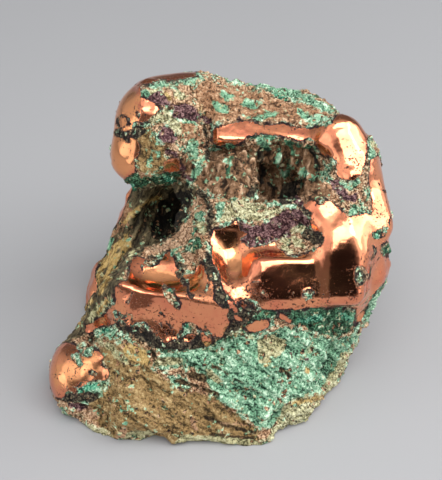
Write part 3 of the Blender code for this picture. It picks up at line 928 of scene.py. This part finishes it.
class Shaper(Formula):
    """A geometry node tree, with the geometry that has passed through it so far."""

    def __init__(self, name, takes_geometry):
        super().__init__(bpy.data.node_groups.new(name, "GeometryNodeTree"))
        self.tree.interface.new_socket("Geometry", in_out="OUTPUT", socket_type="NodeSocketGeometry")
        self.geometry = None
        if takes_geometry:
            self.tree.interface.new_socket("Geometry", in_out="INPUT", socket_type="NodeSocketGeometry")
            self.geometry = self.tree.nodes.new("NodeGroupInput").outputs[0]

    def passed(self, kind, **sockets):
        """Passes the geometry through a node."""
        node = self.tree.nodes.new(kind)
        if self.geometry is not None:
            self.tree.links.new(self.geometry, node.inputs[0])
        for name, value in sockets.items():
            self.feed_one(node.inputs[name.replace("_", " ")], value)
        self.geometry = node.outputs[0]
        return node

    def finished(self):
        out = self.tree.nodes.new("NodeGroupOutput")
        self.tree.links.new(self.geometry, out.inputs[0])
        return self.tree

    def field(self, kind):
        return self.tree.nodes.new(kind).outputs[0]

    def point(self):
        """The place in the tables' millimetres."""
        return self.scaled(self.field("GeometryNodeInputPosition"), 1.0 / MM)

    def pushed(self, millimetres):
        """The geometry with each point pushed out along its normal."""
        off = self.scaled(self.field("GeometryNodeInputNormal"), self.number("MULTIPLY", millimetres, MM))
        self.passed("GeometryNodeSetPosition", Offset=off)

    def named(self, name, kind="FLOAT"):
        node = self.tree.nodes.new("GeometryNodeInputNamedAttribute")
        node.data_type = kind
        node.inputs["Name"].default_value = name
        return [s for s in node.outputs if s.enabled][0]

    def home(self):
        """Where a point was before the crust's relief moved it."""
        return self.named("home", "FLOAT_VECTOR")

    def kept(self, name, value, kind="FLOAT"):
        node = self.tree.nodes.new("GeometryNodeStoreNamedAttribute")
        node.data_type = kind
        node.inputs["Name"].default_value = name
        self.tree.links.new(self.geometry, node.inputs[0])
        self.feed_one([s for s in node.inputs if s.name == "Value" and s.enabled][0], value)
        self.geometry = node.outputs[0]

    def blurred(self, value, times):
        node = self.tree.nodes.new("GeometryNodeBlurAttribute")
        node.data_type = "FLOAT_VECTOR"
        self.feed_one(node.inputs["Iterations"], times)
        self.tree.links.new(value, [s for s in node.inputs if s.enabled][0])
        return [s for s in node.outputs if s.enabled][0]


def form_tree():
    """Fills a volume from the formula, skins it, and draws the skin onto the exact surface."""
    shaper = Shaper("nugget form", False)
    point = shaper.point()
    inside = shaper.minus(nugget_distance(shaper, point))
    volume = shaper.passed("GeometryNodeVolumeCube", Density=inside, Background=-1.0)
    volume.inputs["Min"].default_value = [c * MM for c in SPACE_LOW]
    volume.inputs["Max"].default_value = [c * MM for c in SPACE_HIGH]
    for axis, low, high in zip("XYZ", SPACE_LOW, SPACE_HIGH):
        volume.inputs["Resolution " + axis].default_value = round((high - low) / GRID_STEP)
    shaper.passed("GeometryNodeVolumeToMesh", Threshold=0.0)
    for _ in range(SKIN_STEPS):
        shaper.pushed(inside)
    return shaper.finished()


def apply_modifiers(obj):
    mesh = bpy.data.meshes.new_from_object(obj.evaluated_get(bpy.context.evaluated_depsgraph_get()))
    obj.modifiers.clear()
    obj.data = mesh


def new_object(name):
    obj = bpy.data.objects.new(name, bpy.data.meshes.new(name))
    obj.location = [-c * MM for c in MIDDLE] + [0.0]
    bpy.context.scene.collection.objects.link(obj)
    return obj


class Camera:
    """The camera, in the tables' millimetres."""

    def __init__(self):
        rise = math.radians(CAMERA_RISE)
        self.ahead = Vector((0.0, math.cos(rise), -math.sin(rise)))
        self.up = Vector((0.0, math.sin(rise), math.cos(rise)))
        self.right = Vector((1.0, 0.0, 0.0))
        self.place = Vector(CAMERA_AIM) - self.ahead * CAMERA_AWAY

    def put(self):
        data = bpy.data.cameras.new("camera")
        data.sensor_width = SENSOR_MM
        data.lens = SENSOR_MM * FOCAL_PIXELS / FRAME_HIGH
        obj = bpy.data.objects.new("camera", data)
        obj.location = (self.place - Vector((*MIDDLE, 0.0))) * MM
        obj.rotation_euler = (math.radians(90.0 - CAMERA_RISE), 0.0, 0.0)
        bpy.context.scene.collection.objects.link(obj)
        bpy.context.scene.camera = obj


class Painter:
    """Measures how far each point of the nugget is from what is painted, in millimetres.

    A table gives each place on the nugget a shape or a list of them. A stroke is a brush's radius and the
    points that it passes; an outline is points alone, and is filled.
    Points of two numbers are the camera's pixels, and paint what the camera sees. What it doesn't see
    continues what is nearest to it. Points of three numbers are the tables' millimetres.
    """

    FAR = 60.0
    # A point this near to where its ray first meets the skin is seen.
    SEEN = 1.5

    def __init__(self, obj, camera):
        mesh = obj.data
        places = np.empty(len(mesh.vertices) * 3, np.float32)
        mesh.vertices.foreach_get("co", places)
        self.mesh = mesh
        self.places = places.reshape(-1, 3) / MM
        polygons = [tuple(polygon.vertices) for polygon in mesh.polygons]
        skin = BVHTree.FromPolygons([Vector(p) for p in self.places.tolist()], polygons)
        off = self.places - np.array(camera.place)
        depth = off @ np.array(camera.ahead)
        across = off @ np.array(camera.right) / depth * FOCAL_PIXELS
        up = off @ np.array(camera.up) / depth * FOCAL_PIXELS
        self.pixels = np.stack([FRAME_WIDE / 2 + across, FRAME_HIGH / 2 - up], axis=1)
        away = np.linalg.norm(off, axis=1)
        ways = off / away[:, None]
        met = [skin.ray_cast(camera.place, Vector(way))[3] for way in ways.tolist()]
        met = np.array([far if near is None else near for near, far in zip(met, away)])
        self.seen = np.flatnonzero(met > away - self.SEEN)
        self.hidden = np.flatnonzero(met <= away - self.SEEN)
        tree = KDTree(len(self.seen))
        for index, place in enumerate(self.places[self.seen].tolist()):
            tree.insert(place, index)
        tree.balance()
        found = [tree.find(place)[1:] for place in self.places[self.hidden].tolist()]
        self.nearest = np.array([index for index, _ in found])
        self.reach = np.array([distance for _, distance in found])

    def to_line(self, points, start, end):
        """How far points are from a line between two points."""
        start, end = np.array(start, float), np.array(end, float)
        run = end - start
        length_squared = max(float(run @ run), 1e-9)
        share = np.clip((points - start) @ run / length_squared, 0.0, 1.0)
        return np.linalg.norm(points - start - share[:, None] * run, axis=1)

    def to_path(self, points, path):
        nearest = np.full(len(points), np.inf)
        for start, end in zip(path, path[1:] or path):
            nearest = np.minimum(nearest, self.to_line(points, start, end))
        return nearest

    def inside(self, points, outline):
        within = np.zeros(len(points), bool)
        for (x1, y1), (x2, y2) in zip(outline, outline[1:] + outline[:1]):
            if y1 != y2:
                crosses = (points[:, 1] < y1) != (points[:, 1] < y2)
                meets = x1 + (points[:, 1] - y1) * (x2 - x1) / (y2 - y1)
                within ^= crosses & (points[:, 0] < meets)
        return within

    def flat(self, shape):
        """Pixels from each seen point to a shape of pixels, below zero inside it."""
        pixels = self.pixels[self.seen]
        drawn = np.array([point for point in shape if isinstance(point, tuple)], float)
        reach = self.FAR / PIXEL_MM
        near = (pixels > drawn.min(axis=0) - reach) & (pixels < drawn.max(axis=0) + reach)
        near = near.all(axis=1)
        values = np.full(len(pixels), reach)
        if isinstance(shape[0], tuple):
            off = self.to_path(pixels[near], shape + shape[:1])
            values[near] = np.where(self.inside(pixels[near], shape), -off, off)
        else:
            values[near] = self.to_path(pixels[near], shape[1:]) - shape[0]
        return values

    def distance(self, table):
        """Millimetres from each vertex to the edge of the nearest shape, below zero within one."""
        seen = np.full(len(self.seen), self.FAR)
        whole = np.full(len(self.places), self.FAR)
        named = [value if isinstance(value, list) else [value] for value in table.values()]
        for shape in sum(named, []):
            if len(shape[-1]) == 2:
                seen = np.minimum(seen, self.flat(shape) * PIXEL_MM)
            else:
                whole = np.minimum(whole, self.to_path(self.places, shape[1:]) - shape[0])
        whole[self.seen] = np.minimum(whole[self.seen], seen)
        whole[self.hidden] = np.minimum(whole[self.hidden], seen[self.nearest] + self.reach)
        return whole

    def keep(self, name, values):
        layer = self.mesh.attributes.new(name, "FLOAT", "POINT")
        layer.data.foreach_set("value", np.ascontiguousarray(values, np.float32))


def paint(obj, camera):
    painter = Painter(obj, camera)
    painter.keep("bare", np.maximum(painter.distance(BARE), -painter.distance(CRUST_ON_BARE)))
    painted = {"pepper": PEPPER, "worn": WORN, "golden": GOLDEN, **ZONES}
    for name, shapes in painted.items():
        painter.keep(name, painter.distance(shapes))
    unseen = np.zeros(len(painter.places))
    unseen[painter.hidden] = painter.reach
    painter.keep("unseen", unseen)


def relief_tree():
    """The nodes that subdivide the skin, smooth the bare copper and roughen the crust."""
    shaper = Shaper("nugget relief", True)
    shaper.passed("GeometryNodeSubdivideMesh", Level=1)
    away = shaper.ramp(shaper.named("unseen"), WANDER_RISE, WANDER_START)
    length, strength = WANDER
    wander = shaper.plus(1.5, shaper.noise(shaper.point(), length, 3.0, 0.6), strength)
    shaper.kept("bare", shaper.plus(shaper.named("bare"), wander, away))
    crusted = shaper.ramp(shaper.named("bare"), CRUST_RISE, CRUST_START)
    worn = shaper.ramp(shaper.minus(shaper.named("worn")), 4.0, -2.0)
    worn = shaper.number("MULTIPLY", worn, shaper.rest(crusted))
    for times, share in ((BARE_SMOOTHING, shaper.rest(crusted)), (WORN_SMOOTHING, worn)):
        position = shaper.field("GeometryNodeInputPosition")
        node = shaper.tree.nodes.new("ShaderNodeMix")
        node.data_type = "VECTOR"
        shaper.feed_one(node.inputs[0], share)
        shaper.feed_one(node.inputs[4], position)
        shaper.feed_one(node.inputs[5], shaper.blurred(position, times))
        shaper.passed("GeometryNodeSetPosition", Position=node.outputs[1])

    # Colour and relief are set by where each point is now, before the relief moves it.
    shaper.kept("home", shaper.point(), "FLOAT_VECTOR")
    home = shaper.home()
    shaper.kept("relief", shaper.number("MULTIPLY", crust_relief(shaper, home), crusted))
    above = shaper.ramp(shaper.parts_of(home)[2], FLAT_FADE, FLAT_BELOW)
    shaper.pushed(shaper.number("MULTIPLY", shaper.named("relief"), above))
    return shaper.finished()


def stretched(f, point, along, share):
    """The point with its part along a direction shrunk to this share, which draws noise out that way."""
    length = math.sqrt(sum(c * c for c in along))
    unit = [c / length for c in along]
    run = f.tree.nodes.new("ShaderNodeCombineXYZ")
    f.feed(run, unit)
    back = f.number("MULTIPLY", f.vector("DOT_PRODUCT", point, unit), share - 1.0)
    return f.vector("ADD", point, f.scaled(run.outputs[0], back))


def worms(f, point, length):
    """0 along crooked threads, rising between them, for threads about this many millimetres apart."""
    return f.number("ABSOLUTE", f.noise(point, length, 2.0, 0.6))


def crust_relief(f, point):
    """Millimetres that the crust stands out or sinks."""
    lumps = f.number("MULTIPLY", f.noise(point, 6.0, 5.0, 0.68), 2.9)
    grains = f.number("SUBTRACT", 0.45, f.cells(point, GRAIN))
    height = f.plus(lumps, grains, 0.8)
    height = f.plus(height, f.ramp(worms(f, point, 3.0), 0.25), 0.7)
    for name, along in RIDGED.items():
        streaks = f.number("MULTIPLY", f.noise(stretched(f, point, along, 0.16), 4.0, 3.0, 0.6), 3.6)
        height = f.between(height, f.plus(streaks, height, 0.5), f.zone(name, 8.0))
    height = f.plus(height, f.zone("umber", 2.0), -UMBER_DEPTH)
    for name in FLATTER:
        height = f.between(height, f.number("MULTIPLY", height, FLATTER_SHARE), f.zone(name, 8.0))
    return height


def crust_tone(f):
    """From 0 in the crust's gaps to 1 on its lightest grains: partly the grains' own tone, partly painted
    shade and light, darker in gaps and pits and lighter on raised grains.
    """
    drift = f.noise(stretched(f, f.bend, WALL_RUN, 0.3), 2.2, 3.0, 0.65)
    # Each line adds a share of one more thing.
    tone = f.plus(0.20, f.fine, 0.95)
    tone = f.plus(tone, drift, 0.30)
    tone = f.plus(tone, f.ramp(worms(f, f.bend, 1.7), 0.22), 0.55)
    tone = f.plus(tone, f.number("SUBTRACT", f.chance, 0.5), 0.16)
    tone = f.plus(tone, f.number("SUBTRACT", f.small_chance, 0.5), 0.34)
    # Painted shade and light: darker where the relief is low and in the gaps, lighter where it stands out.
    tone = f.plus(tone, f.height, 0.16)
    tone = f.plus(tone, f.ramp(f.gap, 0.4, 0.5), -0.20)
    for name, along, grain, share in STREAKED:
        streaks = f.noise(stretched(f, f.bend, along, 0.13), 2.4, 4.0, 0.7)
        streaks = f.plus(f.plus(0.38, f.fine, grain), streaks, 1.3)
        # Painted shade and light here too, set by the relief's height.
        streaks = f.plus(streaks, f.height, 0.14)
        tone = f.between(tone, streaks, f.number("MULTIPLY", f.zone(name, 5.0), share))
    return tone


def crust_colour(f, tone, seam):
    """The crust's colour, with its dark seam where that is 1."""
    low = f.ramp(tone, 0.36, 0.10)
    high = f.ramp(tone, 0.50, 0.46)

    def mixed(first, other, amount, start):
        return f.colour(first, other, f.ramp(amount, 0.25, start))

    coats = {}
    for name, (gap, most, light) in COATS.items():
        coats[name] = f.colour(f.colour(gap, most, low), light, high)
    coats["mint"] = mixed(coats["mint"], coats["pale"], f.coarse, 0.22)
    coats["earth"] = mixed(coats["ochre"], coats["tan"], f.blotch, 0.18)
    coats["earth"] = mixed(coats["earth"], coats["umber"], f.minus(f.medium), 0.22)

    # Where no zone is painted, on the sides that the camera doesn't see.
    base = mixed(coats["tan"], coats["earth"], f.broad, 0.10)
    base = f.colour(base, coats["mint"], f.ramp(f.plus(f.medium, f.coarse, 0.8), 0.15, 0.02))
    green = mixed(coats["dark_green"], coats["mint"], f.coarse, -0.1)
    base = mixed(base, green, f.plus(f.number("MULTIPLY", f.medium, 0.5), f.broad, -1.0), 0.20)
    # Painted shade: dark umber is mixed into the crust where its relief is low, in its pits and in broad
    # patches.
    painted_pit_shade = f.plus(f.number("MULTIPLY", f.broad, 0.2), f.height, -0.10)
    base = mixed(base, coats["umber"], painted_pit_shade, 0.16)

    for name, softness in LAYERS.items():
        within = f.plus(f.minus(f.named(name)), f.blotch, softness)
        base = f.colour(base, coats[name], f.ramp(within, 0.8))

    # Odd grains of another colour.
    stray = f.ramp(f.plus(f.second_chance, f.medium, 0.22), 0.03, 0.93)
    base = f.colour(base, f.colour(coats["pale"], coats["mint"], f.ramp(f.small_chance, 0.1, 0.4)), stray)
    stray = f.ramp(f.plus(f.second_chance, f.coarse, -0.25), -0.03, 0.06)
    base = f.colour(base, f.colour(coats["tan"], coats["black"], f.ramp(f.small_chance, 0.1, 0.5)), stray)
    return f.colour(base, f.colour(*SEAM, high), seam)


def copper_colour(f):
    warmth = f.ramp(f.plus(f.coarse, f.medium, 0.3), 0.9, -0.45)
    return f.colour(f.colour(COPPER_RED, COPPER, warmth), COPPER_GOLDEN, f.zone("golden", 6.0))


def nugget_material():
    material = bpy.data.materials.new("native copper and crust")
    material.use_nodes = True
    shader = material.node_tree.nodes["Principled BSDF"]
    shader.inputs["Specular IOR Level"].default_value = 0.25
    f = Shade(material.node_tree)

    # Where the crust begins, its dark seam, and the specks of it on the copper near there.
    ragged = f.plus(f.plus(f.named("bare"), f.medium, 1.6), f.fine, 1.3)
    bare = f.rest(f.ramp(ragged, 0.25))
    seam = f.rest(f.ramp(f.plus(ragged, f.blotch, 4.5), 1.6, 0.1))
    near = f.number("MAXIMUM", f.named("bare"), f.minus(f.named("pepper")))
    specks = f.ramp(f.plus(f.noise(f.bend, 1.2, 3.0, 0.7), near, 0.035), 0.05, 0.19)
    shining = f.number("MULTIPLY", bare, f.rest(specks))

    tone = crust_tone(f)
    base = f.colour(crust_colour(f, tone, seam), SPECK, bare)
    f.feed_one(shader.inputs["Base Color"], f.colour(base, copper_colour(f), shining))
    f.feed_one(shader.inputs["Metallic"], shining)
    roughness = f.plus(COPPER_ROUGHNESS, f.medium, ROUGHNESS_SWING)
    f.feed_one(shader.inputs["Roughness"], f.between(CRUST_ROUGHNESS, roughness, shining))

    # Small grains over the crust, and shallow dents and scratches on the copper.
    grains = f.number("MULTIPLY", f.plus(tone, f.fine, 0.6), 0.45)
    dents = f.number("MULTIPLY", f.noise(f.point, 10.0), 0.20)
    dents = f.plus(dents, f.noise(f.point, 4.0, 2.0, 0.5), 0.045)
    bump = material.node_tree.nodes.new("ShaderNodeBump")
    bump.inputs["Distance"].default_value = MM
    f.feed_one(bump.inputs["Height"], f.between(grains, dents, shining))
    f.feed_one(shader.inputs["Normal"], bump.outputs[0])
    return material


def nugget(camera):
    obj = new_object("nugget")
    obj.modifiers.new("form", "NODES").node_group = form_tree()
    apply_modifiers(obj)
    paint(obj, camera)
    obj.modifiers.new("relief", "NODES").node_group = relief_tree()
    apply_modifiers(obj)
    obj.data.shade_smooth()
    obj.data.materials.clear()
    obj.data.materials.append(nugget_material())
    return obj


# The pieces that the nugget is split into: its four quarters.
QUARTERS = {
    "nugget_front_left": (-1, -1),
    "nugget_front_right": (1, -1),
    "nugget_back_left": (-1, 1),
    "nugget_back_right": (1, 1),
}


def quartered(whole):
    """The nugget's four quarters, which keep the whole's normals, so no seam shows."""
    mesh = whole.data
    normals = np.empty(len(mesh.vertices) * 3, np.float32)
    mesh.vertex_normals.foreach_get("vector", normals)
    layer = mesh.attributes.new("whole_normal", "FLOAT_VECTOR", "POINT")
    layer.data.foreach_set("vector", normals)
    pieces = []
    for name, sides in QUARTERS.items():
        shaper = Shaper(name, True)
        x, y, _ = shaper.parts_of(shaper.point())
        outside = 0.0
        for value, side in zip((x, y), sides):
            outside = shaper.number("MAXIMUM", outside, shaper.number("MULTIPLY", value, -side))
        outside = shaper.number("GREATER_THAN", outside, 0.0)
        node = shaper.passed("GeometryNodeDeleteGeometry", Selection=outside)
        node.domain = "FACE"
        piece = new_object(name)
        piece.data = mesh
        piece.modifiers.new("quarter", "NODES").node_group = shaper.finished()
        apply_modifiers(piece)
        kept = np.empty(len(piece.data.vertices) * 3, np.float32)
        piece.data.attributes["whole_normal"].data.foreach_get("vector", kept)
        piece.data.normals_split_custom_set_from_vertices(kept.reshape(-1, 3).tolist())
        pieces.append(piece)
    bpy.data.objects.remove(whole)
    return pieces


# The lamps point at AIM. Each has its place, its width and height, its power, and whether the copper
# mirrors it.
AIM = (0.0, 0.0, 0.06)
LAMPS = {
    "window": ((0.28, -0.50, 1.16), (1.6, 0.86), 15.5, True),
    "window, right": ((0.98, 0.02, 0.90), (1.0, 0.9), 7.0, True),
    "front": ((-0.2, -1.3, 0.40), (0.9, 0.5), 4.5, False),
}
FLOOR_SIDE = 12.0
FLOOR_COLOUR = (0.34, 0.34, 0.35, 1.0)
FLOOR_ROUGHNESS = 0.7
ROOM_COLOUR = (0.98, 0.99, 1.0, 1.0)
ROOM_LEVEL = 0.16
# Lighter parts of the room: the way to each, the cosine where it begins and where it is full, and how much
# lighter it is.
ROOM_LIGHTS = {
    "left": ((-1.0, 0.1, 0.15), 0.60, 1.00, 0.45),
    "left, near the front": ((-0.90, -0.42, 0.10), 0.88, 0.97, 1.00),
    "right": ((0.95, -0.20, 0.22), 0.76, 0.92, 1.20),
    "right, near the back": ((0.92, 0.34, 0.14), 0.92, 0.98, 1.10),
    "ceiling": ((0.0, -0.1, 1.0), 0.50, 1.00, 0.45),
    "ceiling, middle": ((-0.05, -0.28, 0.96), 0.93, 0.985, 0.90),
    "ceiling, left": ((-0.64, -0.30, 0.70), 0.84, 0.95, 0.65),
}
# A dark part of the room, toward the camera and a little over the nugget, and how much it dims.
DARK_WAY = (0.155, -0.877, 0.454)
DARK_START = 0.90
DARK_WIDTH = 0.06
DARKER = 0.93


def lamp(name, place, size, power, mirrored):
    data = bpy.data.lights.new(name, "AREA")
    data.shape = "RECTANGLE"
    data.size, data.size_y = size
    data.energy = power
    obj = bpy.data.objects.new(name, data)
    obj.location = place
    obj.rotation_euler = (Vector(AIM) - Vector(place)).to_track_quat("-Z", "Y").to_euler()
    obj.visible_glossy = mirrored
    bpy.context.scene.collection.objects.link(obj)


def stage():
    bpy.ops.mesh.primitive_plane_add(size=FLOOR_SIDE, location=(0.0, 0.0, 0.0))
    floor = bpy.context.object
    floor.name = "floor"
    material = bpy.data.materials.new("pale table")
    material.use_nodes = True
    shader = material.node_tree.nodes["Principled BSDF"]
    shader.inputs["Base Color"].default_value = FLOOR_COLOUR
    shader.inputs["Roughness"].default_value = FLOOR_ROUGHNESS
    floor.data.materials.append(material)
    for name, facts in LAMPS.items():
        lamp(name, *facts)
    bpy.context.scene.world = room()
    bpy.context.scene.view_settings.view_transform = "Standard"


def room():
    """Soft light from all round, brighter above, and a dark place in front where no light comes from."""
    world = bpy.data.worlds.new("studio")
    world.use_nodes = True
    background = world.node_tree.nodes["Background"]
    f = Formula(world.node_tree)
    way = world.node_tree.nodes.new("ShaderNodeTexCoord").outputs["Generated"]

    def facing(direction, start, width):
        return f.ramp(f.vector("DOT_PRODUCT", way, Vector(direction).normalized()), width, start)

    level = ROOM_LEVEL
    for direction, start, full, lighter in ROOM_LIGHTS.values():
        level = f.plus(level, facing(direction, start, full - start), lighter)
    left = f.plus(1.0, facing(DARK_WAY, DARK_START, DARK_WIDTH), -DARKER)
    f.feed_one(background.inputs["Color"], ROOM_COLOUR)
    f.feed_one(background.inputs["Strength"], f.number("MULTIPLY", level, left))
    return world


camera = Camera()
camera.put()
for piece in quartered(nugget(camera)):
    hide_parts(NODE)
    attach(piece, "root")
stage()

bpy.context.view_layer.update()
